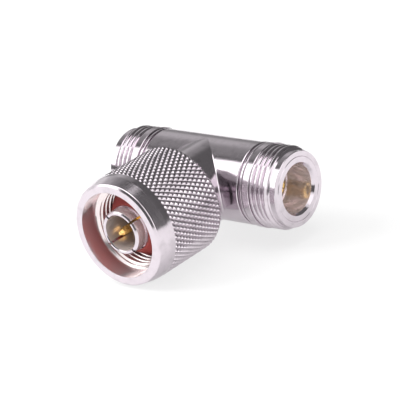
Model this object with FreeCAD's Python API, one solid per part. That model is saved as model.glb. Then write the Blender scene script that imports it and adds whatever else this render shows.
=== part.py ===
import FreeCAD, Part
import math
import os

# Tee coaxial adapter: two threaded female ports on one run, one male port with a coupling nut.
# Millimetres. The male port leaves along -Y, the run lies along X, Z is up.
# The origin is the centre of the male mating plane, the front edge of the slotted outer contact.

# Run and branch
RUN_Y = 27.9
BODY_END = 11.95
BODY_RISE = 0.01
BODY_EDGE = 0.2

# Coaxial line inside the body
LINE_R = 3.5
BEAD_R = 5.2
BEAD_THICK = 2.6
BEAD_RIM = 1.1
BEAD_HUB = 0.9
BEAD_RELIEF = 0.4
SPIGOT_LENGTH = 2.35
CORE_R = 1.52
WAIST_R = 1.1
TAIL_R = 0.9

# Outside of a female port, in order from the end of the body to the face
GROOVE_WIDTH = 0.45
GROOVE_DEPTH = 0.55
LAND_WIDTH = 0.5
RELIEF_WIDTH = 0.3
RING_WIDTH = 1.5
RING_RISE = 0.16
THREAD_LENGTH = 4.4
THREAD_R = 7.94
THREAD_DEPTH = 0.54
LEAD_LENGTH = 1.25
LEAD_DROP = 0.15
SLEEVE_EDGE = 0.12

# Inside of a female port
MOUTH_CHAMFER = 0.42
MOUTH_DEPTH = 0.55
PORT_SEAT_DEPTH = 9.1
SEAT_LENGTH = 2.75

# Female contacts
SOCKET_RECESS = 4.3
SOCKET_R = 0.83
SOCKET_DEPTH = 5.5
SOCKET_SLOTS = 4
SOCKET_SLOT = 0.25
SOCKET_SLOT_LENGTH = 4.5
SOCKET_SLOT_ANGLE = 45.0
SOCKET_EDGE = 0.25
SOCKET_LEAD = 0.22

# Junction of the three inner conductors
JUNCTION_R = 1.9
JUNCTION_HALF = 2.3
JUNCTION_EDGE = 0.25
TAIL_LENGTH = 1.0
TAIL_GAP = 0.1

# Neck of the male port
NECK_R = 6.3
NECK_FRONT = 8.6
NECK_EDGE = 0.2
STEM_R = 5.0
STEM_LENGTH = 3.0

# Slotted outer contact of the male port
FERRULE_WALL = 0.78
FERRULE_TIP_BEVEL = 0.28
FERRULE_MOUTH_BEVEL = 0.16
FERRULE_LENGTH = 2.2
HUB_RISE = 0.17
HUB_BEVEL = 0.3
FERRULE_SLOTS = 4
FERRULE_SLOT = 0.45
FERRULE_SLOT_LENGTH = 6.0
FERRULE_SLOT_ANGLE = 50.0
FLANGE_THICK = 1.2
FLANGE_EDGE = 0.15

# Face gasket, dished back from the hub to the flange
GASKET_THICK = 1.4
GASKET_SETBACK = 0.1
GASKET_OUTER_WALL = 1.15

# Male pin
PIN_R = 0.8
PIN_TIP_R = 0.3
PIN_TIP_MID_R = 0.65
PIN_TIP_LENGTH = 1.4
PIN_SHOULDER = 5.6
PIN_EDGE = 0.15

# Coupling nut, from its mouth to its rear
NUT_FRONT = -0.97
NUT_REAR = 16.7
NUT_R = 10.71
NUT_EDGE_LENGTH = 0.55
NUT_EDGE_DROP = 0.56
NUT_RIM_LENGTH = 0.42
NUT_RIM_DROP = 0.4
COLLAR_LENGTH = 4.12
COLLAR_DROP = 0.1
NUT_REAR_EDGE = 0.42
NUT_BORE_EDGE = 0.15
NUT_THREAD_START = 2.8
NUT_THREAD_LENGTH = 6.2
NUT_THREAD_LEAD = 0.5
NUT_LIP = 1.2
NUT_WEB = 2.0

# Diamond knurl of the nut, rolled between the collar and the rear edge
KNURL_PITCH = 1.02
KNURL_ROW = 0.88
KNURL_DEPTH = 0.36
KNURL_SETBACK = 0.02
KNURL_BED = 0.1
KNURL_ROOT = 0.5

# Retaining ring that holds the nut on the neck
RING_THICK = 1.1
RING_BITE = 0.65
RING_STAND = 0.6
RING_GAP = 1.0
NUT_FLOAT = 0.4

# Clearances between pieces that move against each other or mate with a like port
SLIDE_GAP = 0.1
RUNNING_GAP = 0.2
RING_FLOOR_GAP = 0.15
REAR_GAP = 0.5
FLANGE_GAP = 0.3
MATING_GAP = 0.07
BORE_GAP = 0.2
NUT_MOUTH_GAP = 0.47
NUT_RELIEF_GAP = 0.16

# Radii and places that follow from the sizes above
BODY_R = THREAD_R + BODY_RISE
RING_R = THREAD_R + RING_RISE
FERRULE_R = LINE_R + FERRULE_WALL
HUB_R = FERRULE_R + HUB_RISE
SEAT_R = FERRULE_R + MATING_GAP
PORT_BORE_R = HUB_R + BORE_GAP
GROOVE_R = BODY_R - GROOVE_DEPTH
NUT_THREAD_R = THREAD_R - THREAD_DEPTH
LEAD_R = NUT_THREAD_R - LEAD_DROP
COLLAR_R = NUT_R - COLLAR_DROP
COLLAR_END = NUT_FRONT + COLLAR_LENGTH
KNURL_END = NUT_REAR - NUT_REAR_EDGE
KNURL_VALLEY_R = NUT_R - KNURL_DEPTH
NUT_MOUTH_R = THREAD_R + NUT_MOUTH_GAP
NUT_RELIEF_R = THREAD_R + NUT_RELIEF_GAP
NUT_BORE_R = NECK_R + RUNNING_GAP
FLANGE_R = NUT_THREAD_R - FLANGE_GAP
FLANGE_FRONT = NECK_FRONT - FLANGE_THICK
HUB_START = FERRULE_LENGTH + HUB_BEVEL
NECK_RING_R = NECK_R - RING_BITE
NUT_RING_R = NUT_BORE_R + RING_STAND
RING_REAR = NUT_REAR - NUT_WEB - SLIDE_GAP
RING_FRONT = RING_REAR - RING_THICK
BRANCH_FRONT = NUT_REAR + REAR_GAP
BRANCH_BEAD = BRANCH_FRONT + SPIGOT_LENGTH
BRANCH_FLOOR = BRANCH_BEAD + BEAD_THICK
RUN_BEAD = BODY_END - SPIGOT_LENGTH
RUN_FLOOR = RUN_BEAD - BEAD_THICK
LAND_START = BODY_END + GROOVE_WIDTH
LAND_END = LAND_START + LAND_WIDTH
RING_START = LAND_END + RELIEF_WIDTH
THREAD_START = RING_START + RING_WIDTH
THREAD_END = THREAD_START + THREAD_LENGTH
PORT_FACE = THREAD_END + LEAD_LENGTH
PORT_SEAT = PORT_FACE - PORT_SEAT_DEPTH
SOCKET_FRONT = PORT_FACE - SOCKET_RECESS
PIN_TAIL_START = RUN_Y - JUNCTION_R - TAIL_GAP
PIN_TAIL_END = RUN_Y - TAIL_R + TAIL_GAP

X_AXIS = FreeCAD.Vector(1, 0, 0)
Y_AXIS = FreeCAD.Vector(0, 1, 0)
RUN_CENTRE = FreeCAD.Vector(0, RUN_Y, 0)
ORIGIN = FreeCAD.Vector(0, 0, 0)


def turned(profile, centre, axis):
    """Solid turned about an axis; the profile is a closed list of (distance, radius)."""
    corners = [FreeCAD.Vector(distance, radius, 0) for distance, radius in profile]
    face = Part.Face(Part.makePolygon(corners + corners[:1]))
    solid = face.revolve(ORIGIN, X_AXIS, 360)
    solid.Placement = FreeCAD.Placement(centre, FreeCAD.Rotation(X_AXIS, axis))
    return solid


def slotted(piece, count, width, span, first_angle, centre, axis):
    """Cut radial slots into a turned piece; span is (start, end, reach) along and out from the axis."""
    start, end, reach = span
    for index in range(count):
        blade = Part.makeBox(end - start, reach, width, FreeCAD.Vector(start, 0, -width / 2))
        blade.rotate(ORIGIN, X_AXIS, first_angle + index * 360.0 / count)
        frame = FreeCAD.Placement(centre, FreeCAD.Rotation(X_AXIS, axis))
        blade.Placement = frame.multiply(blade.Placement)
        piece = piece.cut(blade)
    return piece


def make_tee_body():
    """Run and branch of equal size, bored through, with a seat for a bead behind each opening."""
    run = turned([(-BODY_END, 0), (-BODY_END, BODY_R - BODY_EDGE), (-BODY_END + BODY_EDGE, BODY_R),
                  (BODY_END - BODY_EDGE, BODY_R), (BODY_END, BODY_R - BODY_EDGE), (BODY_END, 0)],
                 RUN_CENTRE, X_AXIS)
    branch = turned([(BRANCH_FRONT, 0), (BRANCH_FRONT, BODY_R - BODY_EDGE),
                     (BRANCH_FRONT + BODY_EDGE, BODY_R), (RUN_Y, BODY_R), (RUN_Y, 0)],
                    ORIGIN, Y_AXIS)
    run_bore = turned([(-BODY_END, 0), (-BODY_END, BEAD_R), (-RUN_FLOOR, BEAD_R), (-RUN_FLOOR, LINE_R),
                       (RUN_FLOOR, LINE_R), (RUN_FLOOR, BEAD_R), (BODY_END, BEAD_R), (BODY_END, 0)],
                      RUN_CENTRE, X_AXIS)
    branch_bore = turned([(BRANCH_FRONT, 0), (BRANCH_FRONT, BEAD_R), (BRANCH_FLOOR, BEAD_R),
                          (BRANCH_FLOOR, LINE_R), (RUN_Y, LINE_R), (RUN_Y, 0)], ORIGIN, Y_AXIS)
    return run.fuse(branch).cut(run_bore).cut(branch_bore).removeSplitter()


def make_port_sleeve(side):
    """Threaded shell of a female port, pressed into the end of the run."""
    edge = SLEEVE_EDGE
    outside = [(RUN_BEAD, BEAD_R), (BODY_END, BEAD_R), (BODY_END, GROOVE_R), (LAND_START, GROOVE_R),
               (LAND_START, BODY_R - edge), (LAND_START + edge, BODY_R), (LAND_END - edge, BODY_R),
               (LAND_END, BODY_R - edge), (LAND_END, GROOVE_R), (RING_START, GROOVE_R),
               (RING_START, RING_R - edge), (RING_START + edge, RING_R), (THREAD_START - edge, RING_R),
               (THREAD_START, THREAD_R), (THREAD_END - THREAD_R + LEAD_R, THREAD_R),
               (THREAD_END, LEAD_R), (PORT_FACE - edge, LEAD_R), (PORT_FACE, LEAD_R - edge)]
    inside = [(PORT_FACE, PORT_BORE_R + MOUTH_CHAMFER), (PORT_FACE - MOUTH_DEPTH, PORT_BORE_R),
              (PORT_SEAT + SEAT_LENGTH, PORT_BORE_R), (PORT_SEAT + SEAT_LENGTH, SEAT_R),
              (PORT_SEAT, SEAT_R), (PORT_SEAT, LINE_R), (RUN_BEAD, LINE_R)]
    return turned(outside + inside, RUN_CENTRE, X_AXIS * side)


def make_jack_contact(side):
    """Slotted socket of a female port, held at its waist by the bead."""
    tail_end = JUNCTION_HALF - TAIL_LENGTH
    floor = SOCKET_FRONT - SOCKET_DEPTH
    contact = turned([(tail_end, 0), (tail_end, TAIL_R), (JUNCTION_HALF, TAIL_R),
                      (JUNCTION_HALF, CORE_R), (RUN_FLOOR, CORE_R), (RUN_FLOOR, WAIST_R),
                      (RUN_BEAD, WAIST_R), (RUN_BEAD, CORE_R), (SOCKET_FRONT - SOCKET_EDGE, CORE_R),
                      (SOCKET_FRONT, CORE_R - SOCKET_EDGE), (SOCKET_FRONT, SOCKET_R + SOCKET_LEAD),
                      (SOCKET_FRONT - SOCKET_LEAD, SOCKET_R), (floor, SOCKET_R), (floor - SOCKET_R, 0)],
                     RUN_CENTRE, X_AXIS * side)
    span = (SOCKET_FRONT - SOCKET_SLOT_LENGTH, PORT_FACE, 2 * CORE_R)
    return slotted(contact, SOCKET_SLOTS, SOCKET_SLOT, span, SOCKET_SLOT_ANGLE, RUN_CENTRE, X_AXIS * side)


def make_bead(rear, centre, axis):
    """Insulating bead that grips a waist, with a shallow ring of relief in each face."""
    front = rear + BEAD_THICK
    inner = WAIST_R + BEAD_HUB
    outer = BEAD_R - BEAD_RIM
    relief = BEAD_RELIEF
    return turned([(rear, WAIST_R), (rear, inner), (rear + relief, inner + relief),
                   (rear + relief, outer - relief), (rear, outer), (rear, BEAD_R), (front, BEAD_R),
                   (front, outer), (front - relief, outer - relief), (front - relief, inner + relief),
                   (front, inner), (front, WAIST_R)], centre, axis)


def make_junction_block():
    """Block that joins the two socket tails and the tail of the male pin."""
    half = JUNCTION_HALF
    depth = JUNCTION_HALF - TAIL_LENGTH
    edge = JUNCTION_EDGE
    block = turned([(-half, TAIL_R), (-half, JUNCTION_R - edge), (-half + edge, JUNCTION_R),
                    (half - edge, JUNCTION_R), (half, JUNCTION_R - edge), (half, TAIL_R),
                    (depth, TAIL_R), (depth, 0), (-depth, 0), (-depth, TAIL_R)], RUN_CENTRE, X_AXIS)
    cross_hole = turned([(PIN_TAIL_START, 0), (PIN_TAIL_START, TAIL_R), (PIN_TAIL_END, TAIL_R),
                         (PIN_TAIL_END, 0)], ORIGIN, Y_AXIS)
    return block.cut(cross_hole)


def make_male_shell():
    """Neck that carries the coupling nut, pressed into the branch."""
    groove_r = NECK_RING_R - RING_FLOOR_GAP
    groove_rear = RING_REAR + SLIDE_GAP
    groove_front = RING_FRONT - NUT_FLOAT - SLIDE_GAP
    stem_end = NECK_FRONT + STEM_LENGTH
    return turned([(BRANCH_BEAD, LINE_R), (BRANCH_BEAD, BEAD_R), (BRANCH_FRONT, BEAD_R),
                   (BRANCH_FRONT, NECK_R), (groove_rear, NECK_R), (groove_rear, groove_r),
                   (groove_front, groove_r), (groove_front, NECK_R), (NECK_FRONT + NECK_EDGE, NECK_R),
                   (NECK_FRONT, NECK_R - NECK_EDGE), (NECK_FRONT, STEM_R), (stem_end, STEM_R),
                   (stem_end, LINE_R)], ORIGIN, Y_AXIS)


def make_male_outer_contact():
    """Slotted ferrule with its hub, the flange behind the gasket and the stem set in the neck."""
    stem_end = NECK_FRONT + STEM_LENGTH
    contact = turned([(0, LINE_R + FERRULE_MOUTH_BEVEL), (0, FERRULE_R - FERRULE_TIP_BEVEL),
                      (FERRULE_TIP_BEVEL, FERRULE_R), (FERRULE_LENGTH, FERRULE_R), (HUB_START, HUB_R),
                      (FLANGE_FRONT, HUB_R), (FLANGE_FRONT, FLANGE_R), (NECK_FRONT - FLANGE_EDGE, FLANGE_R),
                      (NECK_FRONT, FLANGE_R - FLANGE_EDGE), (NECK_FRONT, STEM_R), (stem_end, STEM_R),
                      (stem_end, LINE_R), (FERRULE_MOUTH_BEVEL, LINE_R)], ORIGIN, Y_AXIS)
    span = (0, FERRULE_SLOT_LENGTH, 2 * HUB_R)
    return slotted(contact, FERRULE_SLOTS, FERRULE_SLOT, span, FERRULE_SLOT_ANGLE, ORIGIN, Y_AXIS)


def make_male_pin():
    """Pin of the male port with its shoulder, the waist in the bead and the tail."""
    return turned([(0, 0), (0, PIN_TIP_R), (PIN_TIP_LENGTH / 2, PIN_TIP_MID_R), (PIN_TIP_LENGTH, PIN_R),
                   (PIN_SHOULDER, PIN_R), (PIN_SHOULDER, CORE_R - PIN_EDGE),
                   (PIN_SHOULDER + PIN_EDGE, CORE_R), (BRANCH_BEAD, CORE_R), (BRANCH_BEAD, WAIST_R),
                   (BRANCH_FLOOR, WAIST_R), (BRANCH_FLOOR, CORE_R), (PIN_TAIL_START, CORE_R),
                   (PIN_TAIL_START, TAIL_R), (PIN_TAIL_END, TAIL_R), (PIN_TAIL_END, 0)],
                  ORIGIN, Y_AXIS)


def make_face_gasket():
    """Soft ring pushed over the hub, its outer edge dished back until it meets the flange."""
    inner_front = HUB_START + GASKET_SETBACK
    inner_rear = inner_front + GASKET_THICK
    outer_front = FLANGE_FRONT - GASKET_OUTER_WALL
    slope = (outer_front - inner_front) / (FLANGE_R - HUB_R)
    flat_r = HUB_R + (FLANGE_FRONT - inner_rear) / slope
    return turned([(inner_front, HUB_R), (outer_front, FLANGE_R), (FLANGE_FRONT, FLANGE_R),
                   (FLANGE_FRONT, flat_r), (inner_rear, HUB_R)], ORIGIN, Y_AXIS)


def knurl_rings():
    """Rings of the knurl from collar to rear edge, each as (distance, crest radius, valley radius)."""
    rows = round((KNURL_END - COLLAR_END) / KNURL_ROW)
    step = (KNURL_END - COLLAR_END) / rows
    rings = [(COLLAR_END, COLLAR_R - KNURL_SETBACK, KNURL_VALLEY_R)]
    rings += [(COLLAR_END + row * step, NUT_R, KNURL_VALLEY_R) for row in range(1, rows + 1)]
    rear_r = NUT_R - NUT_REAR_EDGE
    rings.append((NUT_REAR, rear_r, rear_r))
    return rings


def make_knurl():
    """Ring of diamond pyramids; crests and valleys alternate round each ring and from ring to ring."""
    columns = 2 * round(2 * math.pi * NUT_R / KNURL_PITCH)
    grid = []
    for row, (distance, crest_r, valley_r) in enumerate(knurl_rings()):
        points = []
        for column in range(columns):
            radius = valley_r if (row + column) % 2 else crest_r
            angle = 2 * math.pi * column / columns
            points.append(FreeCAD.Vector(radius * math.cos(angle), distance, radius * math.sin(angle)))
        grid.append(points)
    faces = []
    for row in range(len(grid) - 1):
        for column in range(columns):
            here, there = grid[row][column], grid[row][(column + 1) % columns]
            below, beyond = grid[row + 1][column], grid[row + 1][(column + 1) % columns]
            if (row + column) % 2:
                halves = [(here, there, beyond), (here, beyond, below)]
            else:
                halves = [(here, there, below), (there, beyond, below)]
            faces += [Part.Face(Part.makePolygon([*half, half[0]])) for half in halves]
    faces += [Part.Face(Part.makePolygon(ring + ring[:1])) for ring in (grid[0], grid[-1])]
    bar = Part.makeSolid(Part.makeShell(faces))
    core_r = KNURL_VALLEY_R - KNURL_ROOT
    return bar.cut(turned([(NUT_FRONT, 0), (NUT_FRONT, core_r), (NUT_REAR + REAR_GAP, core_r),
                           (NUT_REAR + REAR_GAP, 0)], ORIGIN, Y_AXIS))


def make_coupling_nut():
    """Coupling nut: smooth collar, knurled grip, thread bore, and the groove of the retaining ring."""
    groove_r = NUT_RING_R + RUNNING_GAP
    groove_front = RING_FRONT - SLIDE_GAP
    groove_rear = RING_REAR + SLIDE_GAP
    lip_front = groove_front - NUT_LIP
    thread_rear = NUT_THREAD_START + NUT_THREAD_LENGTH
    edge = NUT_BORE_EDGE
    edge_r = COLLAR_R - NUT_EDGE_DROP
    bed_r = KNURL_VALLEY_R - KNURL_BED
    rim_rear = NUT_FRONT + NUT_RIM_LENGTH
    outside = [(NUT_FRONT, NUT_MOUTH_R + edge), (NUT_FRONT, edge_r - NUT_RIM_DROP), (rim_rear, edge_r),
               (rim_rear + NUT_EDGE_LENGTH, COLLAR_R), (COLLAR_END, COLLAR_R), (COLLAR_END, bed_r),
               (NUT_REAR, bed_r)]
    inside = [(NUT_REAR, NUT_BORE_R + edge), (NUT_REAR - edge, NUT_BORE_R), (groove_rear, NUT_BORE_R),
              (groove_rear, groove_r), (groove_front, groove_r), (groove_front, NUT_BORE_R),
              (lip_front, NUT_BORE_R), (lip_front, NUT_RELIEF_R), (thread_rear, NUT_RELIEF_R),
              (thread_rear, NUT_THREAD_R), (NUT_THREAD_START + NUT_THREAD_LEAD, NUT_THREAD_R),
              (NUT_THREAD_START, NUT_MOUTH_R), (NUT_FRONT + edge, NUT_MOUTH_R)]
    return turned(outside + inside, ORIGIN, Y_AXIS).fuse(make_knurl()).removeSplitter()


def make_retaining_ring():
    """Split ring that sits in the nut's groove and slides a little in the groove of the neck."""
    ring = turned([(RING_FRONT, NECK_RING_R), (RING_FRONT, NUT_RING_R), (RING_REAR, NUT_RING_R),
                   (RING_REAR, NECK_RING_R)], ORIGIN, Y_AXIS)
    gap = Part.makeBox(RING_GAP, RING_THICK, NUT_RING_R, FreeCAD.Vector(-RING_GAP / 2, RING_FRONT, 0))
    return ring.cut(gap)


def main():
    """Build every piece and write one STEP file for each."""
    pieces = {
        "tee_body": make_tee_body(),
        "port_sleeve_right": make_port_sleeve(1),
        "port_sleeve_left": make_port_sleeve(-1),
        "jack_contact_right": make_jack_contact(1),
        "jack_contact_left": make_jack_contact(-1),
        "jack_insulator_right": make_bead(RUN_FLOOR, RUN_CENTRE, X_AXIS),
        "jack_insulator_left": make_bead(RUN_FLOOR, RUN_CENTRE, X_AXIS * -1),
        "junction_block": make_junction_block(),
        "male_shell": make_male_shell(),
        "male_outer_contact": make_male_outer_contact(),
        "male_pin": make_male_pin(),
        "male_insulator": make_bead(BRANCH_BEAD, ORIGIN, Y_AXIS),
        "face_gasket": make_face_gasket(),
        "coupling_nut": make_coupling_nut(),
        "nut_retaining_ring": make_retaining_ring(),
    }
    os.makedirs("parts", exist_ok=True)
    for name, shape in pieces.items():
        shape.exportStep(f"parts/{name}.step")


main()
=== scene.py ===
import math

import bpy
import numpy as np
from bpy.props import FloatProperty, FloatVectorProperty, IntProperty, PointerProperty
from mathutils import Matrix, Vector


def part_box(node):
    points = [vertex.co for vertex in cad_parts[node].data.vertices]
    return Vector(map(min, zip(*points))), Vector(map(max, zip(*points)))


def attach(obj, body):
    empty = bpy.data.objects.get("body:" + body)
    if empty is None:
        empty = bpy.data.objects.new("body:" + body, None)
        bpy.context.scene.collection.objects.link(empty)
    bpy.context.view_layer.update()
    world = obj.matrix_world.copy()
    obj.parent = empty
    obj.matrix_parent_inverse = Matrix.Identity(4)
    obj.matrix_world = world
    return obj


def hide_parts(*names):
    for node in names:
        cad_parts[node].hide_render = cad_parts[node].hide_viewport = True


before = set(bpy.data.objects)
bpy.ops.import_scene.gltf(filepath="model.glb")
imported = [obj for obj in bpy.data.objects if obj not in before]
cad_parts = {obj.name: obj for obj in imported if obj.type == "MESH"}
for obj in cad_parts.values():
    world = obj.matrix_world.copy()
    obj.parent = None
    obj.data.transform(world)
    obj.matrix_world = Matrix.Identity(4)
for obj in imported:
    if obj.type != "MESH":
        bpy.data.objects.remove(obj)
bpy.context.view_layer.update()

bl_info = {
    "name": "Tee coax adapter",
    "version": (1, 0, 0),
    "blender": (4, 5, 0),
    "location": "3D View > Sidebar > Tee adapter",
    "description": "Dresses the packed tee adapter: plated shells, knurled nut, gold contacts, "
                   "and a plain studio",
    "category": "Object",
}

MM = 0.001
UP = np.array((0.0, 0.0, 1.0))
MALE_AXIS = np.array((0.0, 1.0, 0.0))
RIGHT_AXIS = np.array((1.0, 0.0, 0.0))
SIDES = {"right": 1, "left": -1}


def box_mm(node):
    """Lowest and highest corner of a CAD node, in millimetres."""
    low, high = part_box(node)
    return np.array(low) / MM, np.array(high) / MM


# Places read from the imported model, in millimetres.
RUN_Y = float(np.mean([corner[1] for corner in box_mm("port_sleeve_right")]))
PORT_FACE = float(box_mm("port_sleeve_right")[1][0])
BODY_END = float(box_mm("tee_body")[1][0])
BODY_R = float(box_mm("tee_body")[1][2])
BRANCH_FRONT = float(box_mm("tee_body")[0][1])
NUT_FRONT = float(box_mm("coupling_nut")[0][1])
NUT_REAR = float(box_mm("coupling_nut")[1][1])
NUT_R = float(box_mm("coupling_nut")[1][2])
MALE_ORIGIN = np.zeros(3)
RUN_CENTRE = np.array((0.0, RUN_Y, 0.0))

# Radii and places that several pieces share, in millimetres. The beads' places count from the
# middle of the run and from the male face.
LINE_R = 3.5
SEAT_R = 5.2
CONTACT_R = 1.52
WAIST_R = 1.1
BEAD_LENGTH = 2.6
PORT_BEAD = 7.0
MALE_BEAD = 19.55

# Form of a thread, in turns: half its flat crest, half its flat root, and the ease of its corners.
THREAD_CREST, THREAD_ROOT, THREAD_EASE = 0.16, 0.08, 0.02

# Angle, in radians, over which the slope of a surface is taken.
SLOPE_TURN = 0.002


class AdapterSizes(bpy.types.PropertyGroup):
    """Sizes of what the plain solids leave out."""

    thread_pitch: FloatProperty(
        name="Thread pitch", description="Length of one turn of every thread",
        default=1.0583 * MM, precision=6, unit="LENGTH")
    thread_depth: FloatProperty(
        name="Thread depth", description="Height of a thread from root to crest",
        default=0.5 * MM, precision=6, unit="LENGTH")
    knurl_starts: IntProperty(
        name="Knurl starts", description="Grooves of each hand round the nut",
        default=66, min=12, max=120)
    knurl_lead: FloatProperty(
        name="Knurl spacing", description="Distance along the nut between grooves of one hand",
        default=1.77 * MM, precision=6, unit="LENGTH")
    knurl_depth: FloatProperty(
        name="Knurl depth", description="Height of a diamond above the grooves",
        default=0.36 * MM, precision=6, unit="LENGTH")
    seam_fillet: FloatProperty(
        name="Seam fillet", description="Radius where run and branch meet",
        default=0.35 * MM, precision=6, unit="LENGTH")


class AdapterFinish(bpy.types.PropertyGroup):
    """Colours and polish of the finishes."""

    nickel: FloatVectorProperty(
        name="Nickel", description="Bright plating of shells and nut",
        default=(0.71, 0.645, 0.695), subtype="COLOR")
    # Dark plating for random stains, and for the painted shade deep in grooves and thread roots.
    nickel_stain_and_shade: FloatVectorProperty(
        name="Nickel in grooves", description="Plating where dirt settles",
        default=(0.2, 0.17, 0.19), subtype="COLOR")
    # Lighter plating in the bores and on the ferrule's outside: dull plating, painted lighter to
    # stand in for light that reaches inside.
    nickel_bore_lightened: FloatVectorProperty(
        name="Nickel in bores", description="Unpolished plating inside the bores",
        default=(1.0, 0.9, 0.87), subtype="COLOR")
    gold: FloatVectorProperty(
        name="Gold", description="Plating of pin and sockets",
        default=(0.95, 0.66, 0.25), subtype="COLOR")
    gold_dull: FloatVectorProperty(
        name="Worn gold", description="Gold where it has rubbed",
        default=(0.74, 0.48, 0.17), subtype="COLOR")
    insulator: FloatVectorProperty(
        name="Insulator", description="White fluoropolymer beads",
        default=(0.78, 0.76, 0.72), subtype="COLOR")
    silicone: FloatVectorProperty(
        name="Silicone", description="Red face gasket",
        default=(0.42, 0.055, 0.045), subtype="COLOR")
    bronze: FloatVectorProperty(
        name="Bronze", description="Spring bronze of the retaining ring",
        default=(0.5, 0.3, 0.15), subtype="COLOR")
    polish: FloatProperty(
        name="Polish", description="Roughness of the polished shells",
        default=0.1, min=0.0, max=1.0, subtype="FACTOR")


class AdapterStage(bpy.types.PropertyGroup):
    """Floor and light."""

    floor_colour: FloatVectorProperty(
        name="Floor", description="Colour of the floor",
        default=(0.9, 0.9, 0.9), subtype="COLOR")
    floor_glow: FloatProperty(
        name="Floor white", description="Share of the floor that shows as plain white",
        default=0.75, min=0.0, max=1.0, subtype="FACTOR")
    floor_sheen: FloatProperty(
        name="Floor white in metal", description="Share that metal mirrors as plain white",
        default=0.4, min=0.0, max=1.0, subtype="FACTOR")
    floor_half: FloatProperty(
        name="Floor half width", description="Half the width of the floor",
        default=3.0, unit="LENGTH")
    key_power: FloatProperty(
        name="Key lamp", description="Power of the soft lamp", default=3.2, unit="POWER")
    key_size: FloatProperty(
        name="Key lamp size", description="Side of the soft lamp", default=0.35, unit="LENGTH")


class Value:
    """A socket's value in a shader; arithmetic on it adds Math nodes."""

    def __init__(self, graph, socket):
        self.graph = graph
        self.socket = socket

    def math(self, operation, *others):
        return self.graph.maths(operation, self, *others)

    def sibling(self, name):
        """Another output of the same node."""
        return Value(self.graph, self.socket.node.outputs[name])

    def __add__(self, other):
        return self.math("ADD", other)

    __radd__ = __add__

    def __sub__(self, other):
        return self.math("SUBTRACT", other)

    def __rsub__(self, other):
        return self.graph.maths("SUBTRACT", other, self)

    def __mul__(self, other):
        return self.math("MULTIPLY", other)

    __rmul__ = __mul__

    def __truediv__(self, other):
        return self.math("DIVIDE", other)

    def __rtruediv__(self, other):
        return self.graph.maths("DIVIDE", other, self)


class Graph:
    """The nodes of one material or world."""

    def __init__(self, tree):
        self.tree = tree
        tree.nodes.clear()

    def node(self, kind, settings=None, inputs=None, output=0):
        """Add a node: settings first, then socket values or links; gives one of its outputs."""
        made = self.tree.nodes.new(kind)
        for name, value in (settings or {}).items():
            setattr(made, name, value)
        for name, value in (inputs or {}).items():
            if isinstance(value, Value):
                self.tree.links.new(value.socket, made.inputs[name])
            else:
                made.inputs[name].default_value = value
        return Value(self, made.outputs[output]) if made.outputs else None

    def maths(self, operation, *values):
        """Math node on values and numbers."""
        return self.node("ShaderNodeMath", {"operation": operation}, dict(enumerate(values)))

    def blend(self, factor, first, second):
        """Mix two colours."""
        return self.node("ShaderNodeMix", {"data_type": "RGBA"},
                         {0: factor, 6: first, 7: second}, 2)

    def step(self, value, low, high):
        """Smooth step from 0 at low to 1 at high."""
        return self.node("ShaderNodeMapRange", {"interpolation_type": "SMOOTHSTEP"},
                         {"Value": value, "From Min": low, "From Max": high})

    def parts(self, vector):
        """The three numbers of a vector."""
        x = self.node("ShaderNodeSeparateXYZ", None, {0: vector}, "X")
        return x, x.sibling("Y"), x.sibling("Z")

    def noise(self, vector, scale, detail=2.0, roughness=0.5):
        """Cloudy value from 0 to 1."""
        inputs = {"Vector": vector, "Scale": scale, "Detail": detail, "Roughness": roughness}
        return self.node("ShaderNodeTexNoise", None, inputs, "Fac")

    def layer(self, name):
        """A value kept on the points of a piece."""
        return self.node("ShaderNodeAttribute", {"attribute_name": name}, None, "Fac")

    def place_mm(self):
        """Place on the piece, in millimetres."""
        place = self.node("ShaderNodeTexCoord", output="Object")
        return self.node("ShaderNodeVectorMath", {"operation": "SCALE"},
                         {0: place, "Scale": 1 / MM})

    def bump(self, height):
        """Normal of a surface with this height, in millimetres."""
        return self.node("ShaderNodeBump", None,
                         {"Strength": 1.0, "Distance": MM, "Height": height})

    def principled(self, inputs):
        """Principled surface with these sockets, joined to the material's output."""
        surface = self.node("ShaderNodeBsdfPrincipled", None, inputs)
        self.node("ShaderNodeOutputMaterial", None, {"Surface": surface})


def rgba(colour):
    """Colour with full alpha."""
    return (*colour, 1.0)


def rounded(corners, closed=True, arc_step=15.0):
    """Profile of (distance, radius, round) corners as rows of place and outward normal, on arcs.

    The profile runs with the solid on its right, so an outside goes the way of the axis.
    """
    points = np.array([(distance, radius) for distance, radius, _ in corners], float)
    count = len(points)
    side_share, least_turn = 0.45, 1e-3
    rows = []
    for index in range(count):
        here = points[index]
        before = here - points[index - 1]
        after = points[(index + 1) % count] - here
        if not closed and index in (0, count - 1):
            edge = after if index == 0 else before
            edge = edge / np.linalg.norm(edge)
            rows.append((*here, -edge[1], edge[0]))
            continue
        long_before, long_after = np.linalg.norm(before), np.linalg.norm(after)
        before, after = before / long_before, after / long_after
        normal_before = np.array((-before[1], before[0]))
        normal_after = np.array((-after[1], after[0]))
        turn = math.acos(max(-1.0, min(1.0, float(before @ after))))
        if turn < least_turn:
            rows.append((*here, *normal_before))
            continue
        reach = min(corners[index][2] * math.tan(turn / 2), side_share * long_before,
                    side_share * long_after)
        steps = max(1, math.ceil(math.degrees(turn) / arc_step))
        for step in range(steps + 1):
            part = step / steps
            place = (1 - part) ** 2 * (here - reach * before) + 2 * part * (1 - part) * here
            place = place + part ** 2 * (here + reach * after)
            normal = (np.sin((1 - part) * turn) * normal_before
                      + np.sin(part * turn) * normal_after)
            rows.append((*place, *(normal / np.linalg.norm(normal))))
    return np.array(rows)


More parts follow.
